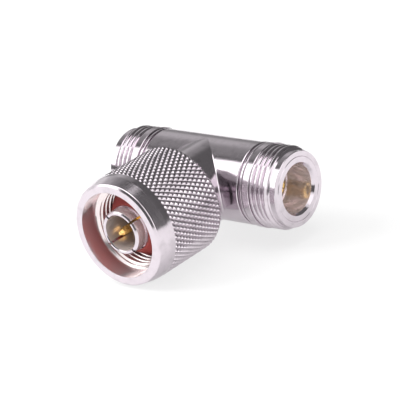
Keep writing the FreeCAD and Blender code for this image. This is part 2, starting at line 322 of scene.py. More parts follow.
class Skin:
    """Gathers grids of points, with their own normals, painted shade and painted bore light, into
    one mesh.
    """

    def __init__(self):
        self.points, self.normals, self.dirt, self.bore, self.faces = [], [], [], [], []
        self.total = 0

    def keep(self, points, normals, dirt=None, bore=None):
        """Keep rows of points with what belongs to them; gives the number of the first."""
        count = len(points)
        self.points.append(points)
        self.normals.append(normals)
        self.dirt.append(np.zeros(count) if dirt is None else dirt.ravel())
        self.bore.append(np.zeros(count) if bore is None else bore.ravel())
        self.total += count
        return self.total - count

    def grid(self, points, normals, dirt=None, bore=None, close_rows=False, close_columns=False,
             flip=False):
        """Add a grid; the way of its columns crossed with the way of its rows points outside.

        The shade and bore values give each point's painted shade and its dull, painted-lighter
        plating, from 0 to 1.
        """
        rows, columns = points.shape[:2]
        first = self.keep(points.reshape(-1, 3), normals.reshape(-1, 3), dirt, bore)
        index = first + np.arange(rows * columns).reshape(rows, columns)
        if close_rows:
            index = np.vstack([index, index[:1]])
        if close_columns:
            index = np.hstack([index, index[:, :1]])
        quads = np.stack([index[:-1, :-1], index[:-1, 1:], index[1:, 1:], index[1:, :-1]], -1)
        quads = quads.reshape(-1, 4)
        self.faces += (quads[:, ::-1] if flip else quads).tolist()

    def polygon(self, points, normal):
        """Add one flat face."""
        first = self.keep(np.array(points, float), np.tile(normal, (len(points), 1)))
        self.faces.append(list(range(first, self.total)))

    def piece(self, name, material):
        """Make the mesh object, in metres, with the material on it."""
        mesh = bpy.data.meshes.new(name)
        mesh.from_pydata((np.vstack(self.points) * MM).tolist(), [], self.faces)
        mesh.polygons.foreach_set("use_smooth", np.ones(len(mesh.polygons), bool))
        normals = np.vstack(self.normals)
        normals = normals / np.linalg.norm(normals, axis=1)[:, None]
        mesh.normals_split_custom_set_from_vertices(normals.tolist())
        for layer_name, values in (("dirt", self.dirt), ("bore", self.bore)):
            layer = mesh.attributes.new(layer_name, "FLOAT", "POINT")
            layer.data.foreach_set("value", np.concatenate(values).astype(np.float32))
        mesh.materials.append(material)
        made = bpy.data.objects.new(name, mesh)
        bpy.context.scene.collection.objects.link(made)
        return made


def lathe_frame(axis, angles):
    """Directions out from the axis and round it at each angle, which counts from straight up."""
    across = np.cross(axis, UP)
    out = np.cos(angles)[:, None] * UP + np.sin(angles)[:, None] * across
    return out, np.cross(axis, out)


def swept(profile, axis, centre, out):
    """Points and normals of a profile's rows, carried to each direction out from the axis."""
    points = centre + profile[:, 0, None, None] * axis + profile[:, 1, None, None] * out
    normals = profile[:, 2, None, None] * axis + profile[:, 3, None, None] * out
    return points, normals


def bore_rows(profile, dull_and_lightened, columns):
    """How dull and how much lighter painted each point is: rows that face the axis, and rows that
    face away from it.
    """
    inner, outer = dull_and_lightened
    nearly_square = 0.9
    rows = np.where(profile[:, 3] < -nearly_square, inner,
                    np.where(profile[:, 3] > nearly_square, outer, 0.0))
    return np.tile(rows[:, None], (1, columns))


def turned(skin, corners, axis, centre, segments, closed=True, dull_and_lightened=(0.0, 0.0)):
    """Turn a rounded profile about an axis, with how dull and how much lighter painted its bores
    and its outside are.
    """
    profile = rounded(corners, closed)
    out, _ = lathe_frame(axis, 2 * np.pi * np.arange(segments) / segments)
    points, normals = swept(profile, axis, centre, out)
    skin.grid(points, normals, bore=bore_rows(profile, dull_and_lightened, segments), close_rows=closed,
              close_columns=True)


def height_field(skin, surface, distance, angle, axis, centre, dirt, nudge, dull_and_lightened=0.0,
                 inward=False):
    """Add a grid of the radii that surface gives for each distance and angle.

    Its slopes are taken over nudge along the axis and SLOPE_TURN round it.
    """
    radius = surface(distance, angle)
    ahead, behind = surface(distance + nudge, angle), surface(distance - nudge, angle)
    left, right = surface(distance, angle + SLOPE_TURN), surface(distance, angle - SLOPE_TURN)
    along, round_axis = (ahead - behind) / (2 * nudge), (left - right) / (2 * SLOPE_TURN)
    out, around = lathe_frame(axis, angle[0])
    points = centre + distance[..., None] * axis + radius[..., None] * out
    normals = out - along[..., None] * axis - (round_axis / radius)[..., None] * around
    skin.grid(points, -normals if inward else normals, dirt, np.full(dirt.shape, dull_and_lightened),
              flip=inward)


def thread_form(turns):
    """Height of a thread, 0 at its root and 1 at its crest, with its corners eased."""
    flank = 0.5 - THREAD_ROOT - THREAD_CREST
    shifts = np.linspace(-THREAD_EASE, THREAD_EASE, 5)
    total = 0.0
    for shift in shifts:
        away = np.abs((turns + shift + 0.5) % 1.0 - 0.5)
        total = total + np.clip((0.5 - THREAD_ROOT - away) / flank, 0.0, 1.0)
    return total / len(shifts)


def thread_rows(first, last):
    """Places of a thread's rows, in turns, close together at the corners of its form."""
    edge = THREAD_EASE + 0.01
    flank = np.linspace(THREAD_CREST + edge, 0.5 - THREAD_ROOT - edge, 4)
    half = np.concatenate([(THREAD_CREST - edge,), flank, (0.5 - THREAD_ROOT + edge,)])
    turn = np.concatenate([(0.0,), half, (0.5,), 1.0 - half[::-1]])
    return np.append((np.arange(first, last)[:, None] + turn).ravel(), last)


def threaded(skin, start, stop, root_r, crest_r, limit, axis, centre, segments, pitch,
             dull_and_lightened=0.0):
    """Add a helical thread from start to stop; limit gives the radius that cuts it there."""
    inward = crest_r < root_r
    angles = 2 * np.pi * np.arange(segments + 1) / segments
    steps = thread_rows(math.floor(start / pitch) - 1, math.ceil(stop / pitch))
    distance = np.clip(pitch * (steps[:, None] + angles[None, :] / (2 * np.pi)), start, stop)
    angle = np.tile(angles, (len(steps), 1))

    def form(place, turn):
        return thread_form(place / pitch - turn / (2 * np.pi))

    def surface(place, turn):
        radius = root_r + (crest_r - root_r) * form(place, turn)
        return (np.maximum if inward else np.minimum)(radius, limit(place))

    # Painted shade, deepest at the thread's roots.
    dirt = (1.0 - form(distance, angle)) ** 3
    height_field(skin, surface, distance, angle, axis, centre, dirt, nudge=0.01,
                 dull_and_lightened=dull_and_lightened, inward=inward)


def split_at(profile, end):
    """Rows of a profile, each with 1 before end and 0 after it, parted where it crosses end."""
    rows = []
    for index, row in enumerate(profile):
        after = profile[(index + 1) % len(profile)]
        rows.append((*row, row[0] < end))
        if (row[0] < end) != (after[0] < end):
            part = (end - row[0]) / (after[0] - row[0])
            radius = row[1] + part * (after[1] - row[1])
            normal = row[2:] + part * (after[2:] - row[2:])
            states = (True, False) if row[0] < end else (False, True)
            rows += [(end, radius, *normal, state) for state in states]
    return np.array(rows, float)


def slotted(skin, corners, axis, centre, slot_end, slots, width, first_angle, steps,
            dull_and_lightened=(0.0, 0.0)):
    """Turn a profile in sectors, parted by radial slots that run from the front to slot_end."""
    rows = split_at(rounded(corners), slot_end)
    slotted_rows = rows[:, 4] > 0
    share = np.linspace(0.0, 1.0, steps + 1)
    half = np.where(slotted_rows, np.arcsin(width / 2 / np.maximum(rows[:, 1], width)), 0.0)
    span = 2 * np.pi / slots
    shift = -int(np.argmin(slotted_rows))
    for sector in range(slots):
        base = math.radians(first_angle) + sector * span
        angle = base + half[:, None] + share[None, :] * (span - 2 * half[:, None])
        out, _ = lathe_frame(axis, angle.ravel())
        points, normals = swept(rows, axis, centre, out.reshape(*angle.shape, 3))
        skin.grid(points, normals, bore=bore_rows(rows, dull_and_lightened, steps + 1), close_rows=True)
        for column, edge, facing in ((0, base, -1), (-1, base + span, 1)):
            wall = np.roll(points[:, column], shift, 0)[np.roll(slotted_rows, shift)]
            _, around = lathe_frame(axis, np.array([edge]))
            skin.polygon(wall[::-facing], facing * around[0])


def new_material(name):
    """Material with empty nodes, and the graph to fill."""
    material = bpy.data.materials.new(name)
    material.use_nodes = True
    return material, Graph(material.node_tree)


def turning_lines(graph, place, axis_name, centre_y):
    """Fine rings left by the lathe, as a height from 0 to 1."""
    fineness, streak = 9.0, 0.35
    x, y, z = graph.parts(place)
    if axis_name == "Y":
        along, across = y, x
    else:
        along, across = x, y - centre_y
    radius = (across * across + z * z).math("SQRT")
    rings = graph.node("ShaderNodeCombineXYZ", None,
                       {0: along * fineness, 1: radius * fineness, 2: (across + z) * streak})
    return graph.noise(rings, scale=1.0, detail=3.0, roughness=0.6)


def nickel(name, axis_name, centre_y, line_depth, polish, groove_shading=0.0, waviness=0.0):
    """Bright nickel plate with lathe lines, uneven polish, random stains, painted shade in its
    grooves and painted light in its bores.
    """
    cloud_stain, worn_stain = 0.22, 0.16
    worn_rough, line_rough, bore_rough, bore_cast = 0.05, 0.04, 0.02, 0.3
    colours = bpy.context.scene.adapter_finish
    material, graph = new_material(name)
    place = graph.place_mm()
    lines = turning_lines(graph, place, axis_name, centre_y)
    cloud = graph.noise(place, scale=0.55, detail=3.0, roughness=0.55)
    worn = graph.noise(place, scale=2.6, detail=4.0, roughness=0.6)
    swell = graph.noise(place, scale=0.35, detail=2.0, roughness=0.4)
    bore = graph.layer("bore")
    stain_and_shade = graph.step(cloud, 0.45, 0.8) * cloud_stain + graph.step(worn, 0.58, 0.8) * worn_stain
    # Painted shade in grooves and thread roots, added to the random stains.
    if groove_shading:
        stain_and_shade = stain_and_shade + graph.layer("dirt") * groove_shading
    colour = graph.blend(stain_and_shade.math("MINIMUM", 1.0), rgba(colours.nickel),
                         rgba(colours.nickel_stain_and_shade))
    # Bores: duller, less metallic plating, painted lighter for the light that reaches inside.
    graph.principled({
        "Base Color": graph.blend(bore, colour, rgba(colours.nickel_bore_lightened)),
        "Metallic": 1 - bore * bore_cast,
        "Roughness": (polish + graph.step(worn, 0.35, 0.75) * worn_rough + lines * line_rough
                      + bore * bore_rough),
        "Normal": graph.bump(lines * line_depth + swell * waviness),
    })
    return material


def gold_plate():
    """Gold plate, rubbed a little where contacts slide."""
    rubbed_share, rubbed_rough, scratch_depth = 0.5, 0.1, 0.002
    colours = bpy.context.scene.adapter_finish
    material, graph = new_material("gold plate")
    place = graph.place_mm()
    rubbed = graph.step(graph.noise(place, scale=3.0, detail=4.0, roughness=0.6), 0.45, 0.75)
    scratches = graph.noise(place, scale=14.0, detail=3.0, roughness=0.6)
    graph.principled({
        "Base Color": graph.blend(rubbed * rubbed_share, rgba(colours.gold),
                                  rgba(colours.gold_dull)),
        "Metallic": 1.0,
        "Roughness": 0.24 + rubbed * rubbed_rough,
        "Normal": graph.bump(scratches * scratch_depth),
    })
    return material


def white_insulator():
    """Waxy white fluoropolymer."""
    shade, shade_share, cloud_rough, grain_depth = 0.8, 0.6, 0.1, 0.006
    white = bpy.context.scene.adapter_finish.insulator
    material, graph = new_material("white insulator")
    place = graph.place_mm()
    cloud = graph.noise(place, scale=1.4, detail=3.0, roughness=0.5)
    grain = graph.noise(place, scale=9.0)
    shaded = tuple(shade * part for part in white)
    graph.principled({
        "Base Color": graph.blend(cloud * shade_share, rgba(white), rgba(shaded)),
        "Roughness": 0.42 + cloud * cloud_rough,
        "Normal": graph.bump(grain * grain_depth),
    })
    return material


def red_silicone():
    """Moulded silicone rubber, matt, with a bloom of dust."""
    cloud_share, speckle_share, cloud_rough, grain_depth = 0.25, 0.3, 0.15, 0.012
    red = bpy.context.scene.adapter_finish.silicone
    material, graph = new_material("red silicone")
    place = graph.place_mm()
    cloud = graph.noise(place, scale=1.1, detail=4.0, roughness=0.6)
    speckle = graph.step(graph.noise(place, scale=7.0, detail=3.0, roughness=0.7), 0.6, 0.8)
    grain = graph.noise(place, scale=6.0, detail=3.0, roughness=0.6)
    dusty = tuple(0.75 * part + 0.12 for part in red)
    graph.principled({
        "Base Color": graph.blend(cloud * cloud_share + speckle * speckle_share, rgba(red),
                                  rgba(dusty)),
        "Roughness": 0.5 + cloud * cloud_rough,
        "Normal": graph.bump(grain * grain_depth),
    })
    return material


def spring_bronze():
    """Bare spring bronze with a brown patina."""
    patina_shade, patina_rough = 0.5, 0.2
    bronze = bpy.context.scene.adapter_finish.bronze
    material, graph = new_material("spring bronze")
    patina = graph.noise(graph.place_mm(), scale=1.8, detail=4.0, roughness=0.6)
    brown = tuple(patina_shade * part for part in bronze)
    graph.principled({
        "Base Color": graph.blend(graph.step(patina, 0.4, 0.7), rgba(bronze), rgba(brown)),
        "Metallic": 1.0,
        "Roughness": 0.3 + patina * patina_rough,
    })
    return material


def material_once(name, make):
    """The material of this name, made the first time that a piece needs it."""
    return bpy.data.materials.get(name) or make()


def place_piece(piece, body, slot, *nodes):
    """Fix a new piece to its body in place of the plain solids."""
    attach(piece, body)
    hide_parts(*nodes)


def bead_profile(start):
    """Insulating bead with a ring of relief in each face."""
    end, relief = start + BEAD_LENGTH, 0.4
    hub_r, hub_foot_r, rim_foot_r, rim_r = 2.0, 2.4, 3.7, 4.1
    return [(start, WAIST_R, 0.05), (start, hub_r, 0.1), (start + relief, hub_foot_r, 0.1),
            (start + relief, rim_foot_r, 0.1), (start, rim_r, 0.1), (start, SEAT_R, 0.05),
            (end, SEAT_R, 0.05), (end, rim_r, 0.1), (end - relief, rim_foot_r, 0.1),
            (end - relief, hub_foot_r, 0.1), (end, hub_r, 0.1), (end, WAIST_R, 0.05)]


class ADAPTER_OT_tee_body(bpy.types.Operator):
    """Run and branch with an eased mitre seam"""

    bl_idname = "adapter.tee_body"
    bl_label = "Tee body"

    steps = 112
    edge = 0.2
    seat_depth = 4.95

    def loop(self, turn, fillet):
        """Places and normals of the body on one ruling, from inner mitre to outer seam and back."""
        edge, seat_y = self.edge, BRANCH_FRONT + self.seat_depth
        cosine, sine = math.cos(turn), math.sin(turn)
        inner, outer = LINE_R * cosine, (BODY_R + fillet) * cosine
        quarter = [(math.cos(tilt), math.sin(tilt)) for tilt in np.linspace(0.0, math.pi / 2, 5)]
        run = [(inner, LINE_R, 0, -1), (PORT_BEAD, LINE_R, 0, -1), (PORT_BEAD, LINE_R, 1, 0),
               (PORT_BEAD, SEAT_R, 1, 0), (PORT_BEAD, SEAT_R, 0, -1), (BODY_END, SEAT_R, 0, -1),
               (BODY_END, SEAT_R, 1, 0)]
        run += [(BODY_END - edge + edge * tilt_cos, BODY_R - edge + edge * tilt_sin,
                 tilt_cos, tilt_sin) for tilt_cos, tilt_sin in quarter]
        run += [(outer, BODY_R, 0, 1)]
        branch = [(RUN_Y - outer, BODY_R, 0, 1)]
        branch += [(BRANCH_FRONT + edge - edge * tilt_sin, BODY_R - edge + edge * tilt_cos,
                    -tilt_sin, tilt_cos) for tilt_cos, tilt_sin in quarter]
        branch += [(BRANCH_FRONT, SEAT_R, -1, 0), (BRANCH_FRONT, SEAT_R, 0, -1),
                   (seat_y, SEAT_R, 0, -1), (seat_y, SEAT_R, -1, 0), (seat_y, LINE_R, -1, 0),
                   (seat_y, LINE_R, 0, -1), (RUN_Y - inner, LINE_R, 0, -1)]
        places, normals = [], []
        for distance, radius, along, out in run:
            places.append((distance, RUN_Y - radius * cosine, radius * sine))
            normals.append((along, -out * cosine, out * sine))
        first, second = np.array((0, -cosine, sine)), np.array((cosine, 0, sine))
        middle = np.array((outer, RUN_Y - outer, (BODY_R + fillet) * sine))
        for part in np.linspace(0.0, 1.0, 9)[1:-1]:
            normal = (1 - part) * first + part * second
            normal = normal / np.linalg.norm(normal)
            places.append(middle - fillet * normal)
            normals.append(normal)
        for distance, radius, along, out in branch:
            places.append((radius * cosine, distance, radius * sine))
            normals.append((out * cosine, along, out * sine))
        return np.array(places), np.array(normals)

    def execute(self, context):
        fillet = context.scene.adapter_sizes.seam_fillet / MM
        skin = Skin()
        turns = np.linspace(-np.pi / 2, np.pi / 2, self.steps + 1)
        loops = [self.loop(turn, fillet) for turn in turns]
        points = np.array([places for places, _ in loops])
        normals = np.array([directions for _, directions in loops])
        for side in SIDES.values():
            mirror = np.array((side, 1, 1))
            skin.grid(points * mirror, normals * mirror, close_columns=True, flip=side > 0)
        corners = [(-BODY_END, SEAT_R, 0.02), (-BODY_END, BODY_R, self.edge),
                   (BODY_END, BODY_R, self.edge), (BODY_END, SEAT_R, 0.02),
                   (PORT_BEAD, SEAT_R, 0.02), (PORT_BEAD, LINE_R, 0.02),
                   (-PORT_BEAD, LINE_R, 0.02), (-PORT_BEAD, SEAT_R, 0.02)]
        out, _ = lathe_frame(RIGHT_AXIS, np.pi + np.linspace(0.0, np.pi, self.steps + 1))
        skin.grid(*swept(rounded(corners), RIGHT_AXIS, RUN_CENTRE, out), close_rows=True)
        material = nickel("polished nickel body", "X", RUN_Y, line_depth=0.001,
                          polish=context.scene.adapter_finish.polish + 0.01, waviness=0.02)
        place_piece(skin.piece("tee_polished", material), "adapter", "nickel_plate", "tee_body")
        return {"FINISHED"}


class ADAPTER_OT_ports(bpy.types.Operator):
    """Threaded shells of the two female ports"""

    bl_idname = "adapter.ports"
    bl_label = "Female ports"

    segments = 256

    def execute(self, context):
        sizes, finish = context.scene.adapter_sizes, context.scene.adapter_finish
        pitch, depth = sizes.thread_pitch / MM, sizes.thread_depth / MM
        crest_r, ring_r, groove_r, lead_r = 7.94, 8.10, 7.4, 7.25
        face_line_r, mouth_r, bore_r, step_r = 6.2, 5.07, 4.65, 4.35
        land, ring, thread, lead = (BODY_END + part for part in (0.45, 1.25, 2.75, 7.15))
        land_width, mouth_chamfer, bore_end, step_end = 0.5, 0.55, 14.0, 11.25
        rear = PORT_BEAD + BEAD_LENGTH
        cut = lead - (crest_r - lead_r)
        outside = [(BODY_END, SEAT_R, 0.03), (BODY_END, groove_r, 0.05), (land, groove_r, 0.05),
                   (land, BODY_R, 0.1), (land + land_width, BODY_R, 0.1),
                   (land + land_width, groove_r, 0.05), (ring, groove_r, 0.05),
                   (ring, ring_r, 0.12), (thread, ring_r, 0.12), (thread, groove_r, 0.02)]
        mouth = [(lead, lead_r, 0.03), (PORT_FACE - 0.04, lead_r, 0.12),
                 (PORT_FACE - 0.02, face_line_r + 0.06, 0.01),
                 (PORT_FACE - 0.1, face_line_r, 0.02),
                 (PORT_FACE, face_line_r - 0.08, 0.01), (PORT_FACE, mouth_r, 0.05),
                 (PORT_FACE - mouth_chamfer, bore_r, 0.06), (bore_end, bore_r, 0.05),
                 (bore_end, step_r, 0.05), (step_end, step_r, 0.05),
                 (step_end, LINE_R, 0.05), (rear, LINE_R, 0.02)]
        inside = [(rear, LINE_R, 0.02), (rear, SEAT_R, 0.02), (BODY_END, SEAT_R, 0.02)]
        material = nickel("turned nickel port", "X", RUN_Y, line_depth=0.0012,
                          polish=finish.polish, groove_shading=0.2, waviness=0.006)
        for side_name, side in SIDES.items():
            axis = RIGHT_AXIS * side
            skin = Skin()
            turned(skin, outside, axis, RUN_CENTRE, self.segments, closed=False)
            threaded(skin, thread, lead, crest_r - depth, crest_r,
                     lambda place: crest_r + cut - place, axis, RUN_CENTRE, self.segments,
                     pitch)
            # The port's bore is painted lighter, with duller plating.
            turned(skin, mouth, axis, RUN_CENTRE, self.segments, closed=False,
                   dull_and_lightened=(1.0, 0.0))
            turned(skin, inside, axis, RUN_CENTRE, self.segments // 2, closed=False)
            place_piece(skin.piece(f"port_{side_name}_threaded", material), "adapter",
                        "nickel_plate", f"port_sleeve_{side_name}")
        return {"FINISHED"}


def soft_minimum(first, second, sharpness=30.0):
    """The lesser of two values, rounded where they meet."""
    return -np.log(np.exp(-sharpness * first) + np.exp(-sharpness * second)) / sharpness


class ADAPTER_OT_coupling_nut(bpy.types.Operator):
    """Coupling nut with its diamond knurl and inner thread"""

    bl_idname = "adapter.coupling_nut"
    bl_label = "Coupling nut"

    segments = 264
    rear_chamfer = 0.42
    steps_per_groove = 8

    # Where the diamonds stand round and along the nut, in grooves, and the height, as a share
    # of a sharp diamond's, from which they are flat.
    phase_round, phase_along = 67.0 / 360.0, -57.0 / 360.0
    flat_level = 0.9

    def knurl_form(self, first, second):
        """Height of the diamonds, 0 in the grooves and 1 at the crests."""
        ridges = [1 - 2 * np.abs(turns - np.round(turns)) for turns in (first, second)]
        return np.clip(soft_minimum(soft_minimum(*ridges) / self.flat_level, 1.0), 0.0, 1.0)

    def knurl(self, skin, start, stop, sizes):
        """Grid of diamonds whose lines run along the grooves."""
        starts, lead, depth = sizes.knurl_starts, sizes.knurl_lead / MM, sizes.knurl_depth / MM
        parts, valley_r = self.steps_per_groove, NUT_R - depth
        columns = starts * parts
        offset = RUN_Y + self.phase_along * lead
        first = math.floor((offset - stop) / lead * parts) - 1
        last = math.ceil((offset - start) / lead * parts) + 1
        rows = np.clip(offset - np.arange(first, last + 1)[::-1] * lead / parts, start, stop)
        angles = 2 * np.pi * (np.arange(columns + 1) / columns)

        def surface(place, angle):
            turns = starts * (0.25 - angle / (2 * np.pi)) + self.phase_round
            along = (offset - place) / lead
            radius = valley_r + depth * self.knurl_form(turns + along, turns - along)
            return np.minimum(radius, NUT_R - (place - (stop - self.rear_chamfer)))

        angle = np.tile(angles, (len(rows), 1))
        distance = np.tile(rows[:, None], (1, columns + 1))
        # Painted shade, deepest in the grooves between the diamonds.
        dirt = np.clip((NUT_R - surface(distance, angle)) / depth, 0.0, 1.0) ** 3
        height_field(skin, surface, distance, angle, MALE_AXIS, MALE_ORIGIN, dirt, nudge=0.02)

    def execute(self, context):
        sizes, finish = context.scene.adapter_sizes, context.scene.adapter_finish
        pitch, depth = sizes.thread_pitch / MM, sizes.thread_depth / MM
        mouth_r, thread_r, relief_r, bore_r, groove_r = 8.41, 7.4, 8.1, 6.5, 7.3
        face_r, shoulder_r, collar_r = 9.68, 10.1, 10.61
        shoulder, swell_end, collar_end, collar_step = -0.6, 2.0, 3.15, 0.34
        mouth, thread_lead, thread_end, relief_end = 2.8, 0.5, 9.0, 12.2
        groove, groove_end = 13.4, 14.7
        front = [(mouth, mouth_r, 0.02), (NUT_FRONT, mouth_r, 0.1), (NUT_FRONT, face_r, 0.1),
                 (shoulder, shoulder_r, 0.3), (swell_end, collar_r, 3.0),
                 (collar_end, collar_r, 0.03), (collar_end, NUT_R - collar_step, 0.02)]
        rear = [(NUT_REAR, NUT_R - self.rear_chamfer, 0.02), (NUT_REAR, bore_r, 0.12),
                (groove_end, bore_r, 0.03), (groove_end, groove_r, 0.02),
                (groove, groove_r, 0.02), (groove, bore_r, 0.03), (relief_end, bore_r, 0.03),
                (relief_end, relief_r, 0.05), (thread_end, relief_r, 0.05),
                (thread_end, thread_r, 0.02)]
        skin = Skin()
        # The nut's mouth is painted half as much lighter as the bores.
        turned(skin, front, MALE_AXIS, MALE_ORIGIN, self.segments, closed=False,
               dull_and_lightened=(0.5, 0.0))
        self.knurl(skin, collar_end, NUT_REAR, sizes)
        turned(skin, rear, MALE_AXIS, MALE_ORIGIN, self.segments, closed=False)
        # The inner thread is painted lighter too, with duller plating.
        threaded(skin, mouth, thread_end, thread_r + depth, thread_r,
                 lambda place: mouth_r - (place - mouth) * (mouth_r - thread_r) / thread_lead,
                 MALE_AXIS, MALE_ORIGIN, self.segments, pitch, dull_and_lightened=0.6)
        material = nickel("turned nickel nut", "Y", 0.0, line_depth=0.0016,
                          polish=finish.polish + 0.02, groove_shading=0.4, waviness=0.004)
        place_piece(skin.piece("nut_knurled", material), "nut", "nickel_plate", "coupling_nut")
        return {"FINISHED"}


class ADAPTER_OT_male_contacts(bpy.types.Operator):
    """Slotted ferrule, its gasket, the pin and the bead behind it"""

    bl_idname = "adapter.male_contacts"
    bl_label = "Male contacts"

    tip_r, ferrule_r, flange_r, tail_r, pin_r = 4.28, 4.45, 7.1, 5.0, 0.8
    flange, flange_end, ferrule_end = 7.4, 8.6, 11.6

    def ferrule(self, finish):
        """Outer contact, cut in four fingers."""
        profile = [(0.0, 3.66, 0.04), (0.0, 4.0, 0.06), (0.28, self.tip_r, 0.08),
                   (2.2, self.tip_r, 0.06), (2.5, self.ferrule_r, 0.06),
                   (self.flange, self.ferrule_r, 0.05), (self.flange, self.flange_r, 0.05),
                   (self.flange_end, self.flange_r, 0.15), (self.flange_end, self.tail_r, 0.05),
                   (self.ferrule_end, self.tail_r, 0.05), (self.ferrule_end, LINE_R, 0.05),
                   (0.16, LINE_R, 0.04)]
        skin = Skin()
        # Bore and outside of the ferrule are painted lighter, with duller plating.
        slotted(skin, profile, MALE_AXIS, MALE_ORIGIN, slot_end=6.0, slots=4, width=0.45,
                first_angle=50.0, steps=56, dull_and_lightened=(1.0, 0.6))
        material = nickel("turned nickel contact", "Y", 0.0, line_depth=0.001,
                          polish=finish.polish + 0.04)
        place_piece(skin.piece("ferrule_slotted", material), "adapter", "nickel_plate",
                    "male_outer_contact")

    def gasket(self):
        """Red gasket, dished back round the ferrule."""
        profile = [(2.6, self.ferrule_r, 0.12), (6.25, self.flange_r, 0.15),
                   (self.flange, self.flange_r, 0.05), (self.flange, 6.92, 0.3),
                   (4.0, self.ferrule_r, 0.05)]
        skin = Skin()
        turned(skin, profile, MALE_AXIS, MALE_ORIGIN, 160)
        piece = skin.piece("gasket_dished", red_silicone())
        place_piece(piece, "adapter", "red_silicone", "face_gasket")

    def pin(self):
        """Gold pin, thicker behind the face, with a waist for its bead and a spigot at the end."""
        shoulder, spigot, end, spigot_r = 5.6, 25.9, 27.1, 0.9
        waist_end = MALE_BEAD + BEAD_LENGTH
        profile = [(0.0, 0.0, 0.0), (0.0, 0.3, 0.12), (0.7, 0.65, 0.3), (1.4, self.pin_r, 0.3),
                   (shoulder, self.pin_r, 0.05), (shoulder, CONTACT_R, 0.12),
                   (MALE_BEAD, CONTACT_R, 0.03), (MALE_BEAD, WAIST_R, 0.02),
                   (waist_end, WAIST_R, 0.02), (waist_end, CONTACT_R, 0.03),
                   (spigot, CONTACT_R, 0.03), (spigot, spigot_r, 0.02), (end, spigot_r, 0.05),
                   (end, 0.0, 0.0)]
        skin = Skin()
        turned(skin, profile, MALE_AXIS, MALE_ORIGIN, 96, closed=False)
        piece = skin.piece("pin_gold", material_once("gold plate", gold_plate))
        place_piece(piece, "adapter", "gold_plate", "male_pin")

    def execute(self, context):
        self.ferrule(context.scene.adapter_finish)
        self.gasket()
        self.pin()
        skin = Skin()
        turned(skin, bead_profile(MALE_BEAD), MALE_AXIS, MALE_ORIGIN, 128)
        piece = skin.piece("bead_male", material_once("white insulator", white_insulator))
        place_piece(piece, "adapter", "white_insulator", "male_insulator")
        return {"FINISHED"}


class ADAPTER_OT_sockets(bpy.types.Operator):
    """Gold sockets of the female ports and the beads that hold them"""

    bl_idname = "adapter.sockets"
    bl_label = "Sockets and beads"

    def execute(self, context):
        spigot, shoulder, mouth, slot_length = 1.3, 2.3, 16.05, 4.5
        spigot_r, hole_r, mouth_r = 0.9, 0.83, 1.0
        waist_end = PORT_BEAD + BEAD_LENGTH
        socket = [(spigot, 0.0, 0.0), (spigot, spigot_r, 0.05), (shoulder, spigot_r, 0.02),
                  (shoulder, CONTACT_R, 0.05), (PORT_BEAD, CONTACT_R, 0.03),
                  (PORT_BEAD, WAIST_R, 0.02), (waist_end, WAIST_R, 0.02),
                  (waist_end, CONTACT_R, 0.03), (mouth, CONTACT_R, 0.22), (mouth, mouth_r, 0.12),
                  (15.75, hole_r, 0.1), (10.55, hole_r, 0.05), (10.2, 0.0, 0.0)]
        # The slots run from the front, so the profile is turned about the axis that points inwards.
        mirrored = [(-distance, radius, ease) for distance, radius, ease in reversed(socket)]
        for side_name, side in SIDES.items():
            axis = RIGHT_AXIS * side
            skin = Skin()
            slotted(skin, mirrored, -axis, RUN_CENTRE, slot_end=slot_length - mouth, slots=4,
                    width=0.25, first_angle=45.0, steps=20)
            piece = skin.piece(f"socket_{side_name}_gold", material_once("gold plate", gold_plate))
            place_piece(piece, "adapter", "gold_plate", f"jack_contact_{side_name}")

            skin = Skin()
            turned(skin, bead_profile(PORT_BEAD), axis, RUN_CENTRE, 128)
            piece = skin.piece(f"bead_{side_name}",
                               material_once("white insulator", white_insulator))
            place_piece(piece, "adapter", "white_insulator", f"jack_insulator_{side_name}")
        return {"FINISHED"}


class ADAPTER_OT_inner_parts(bpy.types.Operator):
    """Finish of the pieces that keep their plain solids"""

    bl_idname = "adapter.inner_parts"
    bl_label = "Inner parts"

    def execute(self, context):
        polish = context.scene.adapter_finish.polish + 0.05
        materials = {
            "male_shell": nickel("turned nickel neck", "Y", 0.0, line_depth=0.001, polish=polish),
            "junction_block": material_once("gold plate", gold_plate),
            "nut_retaining_ring": spring_bronze(),
        }
        for node, material in materials.items():
            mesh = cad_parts[node].data
            mesh.materials.clear()
            mesh.materials.append(material)
        return {"FINISHED"}


